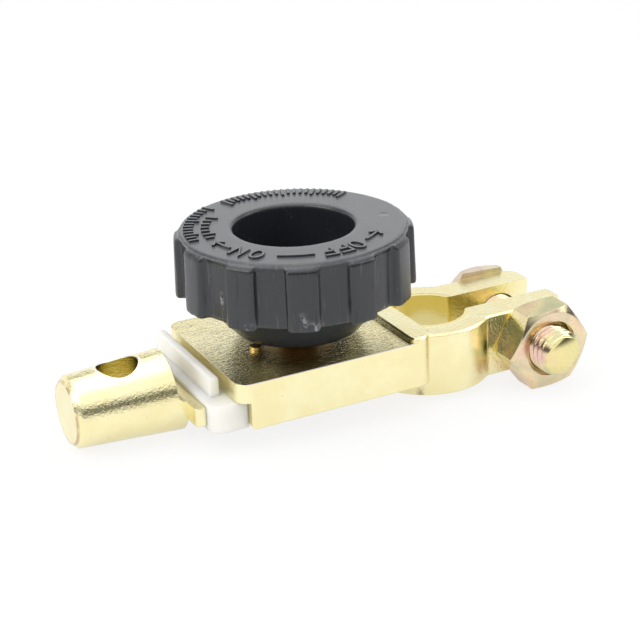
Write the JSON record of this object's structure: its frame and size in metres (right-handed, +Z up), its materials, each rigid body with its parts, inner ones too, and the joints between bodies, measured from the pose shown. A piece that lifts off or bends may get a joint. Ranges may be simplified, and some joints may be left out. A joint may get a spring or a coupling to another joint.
{
  "type": "battery disconnect switch",
  "caption": "Battery terminal clamp with a screw-down knob switch and a tapered cable post on an insulated tongue.",
  "frame": {"origin": "on the axis of the battery post bore, at the underside of the clamp ring", "axes": "+Z up along the battery post bore, +X along the part towards the clamp's ears, +Y across it towards the clamp bolt's head"},
  "size_m": [0.1109, 0.0486, 0.0414],
  "materials": {
    "gold_plated_casting": "bright pale gold plating over a slightly grainy casting, with a machined contact face",
    "white_nylon": "satin white nylon",
    "turned_brass": "turned brass",
    "black_plastic": "satin charcoal moulded plastic with fine scuffs",
    "copper": "copper",
    "yellow_zinc_steel": "yellow passivated zinc with pink and green iridescence"
  },
  "bodies": {
    "switch_body": {"clamp_housing": "gold_plated_casting", "post_connector": "gold_plated_casting", "insulator": "white_nylon", "retaining_pin": "turned_brass"},
    "contact": {"contact_washer": "copper"},
    "knob": {"knob": "black_plastic", "knob_stud": "turned_brass"},
    "clamp_bolt": {"clamp_bolt": "yellow_zinc_steel"},
    "clamp_nut": {"clamp_nut": "yellow_zinc_steel"}
  },
  "joints": [
    {"name": "washer_lift", "type": "slide", "parent": "switch_body", "child": "contact", "axis": [0, 0, 1], "range_m": [-0.00094, 0.0025]},
    {"name": "knob_turn", "type": "hinge", "parent": "contact", "child": "knob", "pos_m": [-0.03024, 0, 0.0266], "axis": [0, 0, 1], "range_deg": [-270, 720]},
    {"name": "clamp_bolt_turn", "type": "hinge", "parent": "switch_body", "child": "clamp_bolt", "pos_m": [0.0206, 0, 0.0063], "axis": [0, 1, 0], "range_deg": [0, 720]},
    {"name": "clamp_nut_travel", "type": "slide", "parent": "switch_body", "child": "clamp_nut", "axis": [0, -1, 0], "range_m": [0, 0.003]}
  ],
  "couplings": [
    {"joint": "washer_lift", "follows": "knob_turn", "m_per_rad": 0.00019894},
    {"joint": "clamp_nut_travel", "follows": "clamp_bolt_turn", "m_per_rad": 0.00023873}
  ]
}
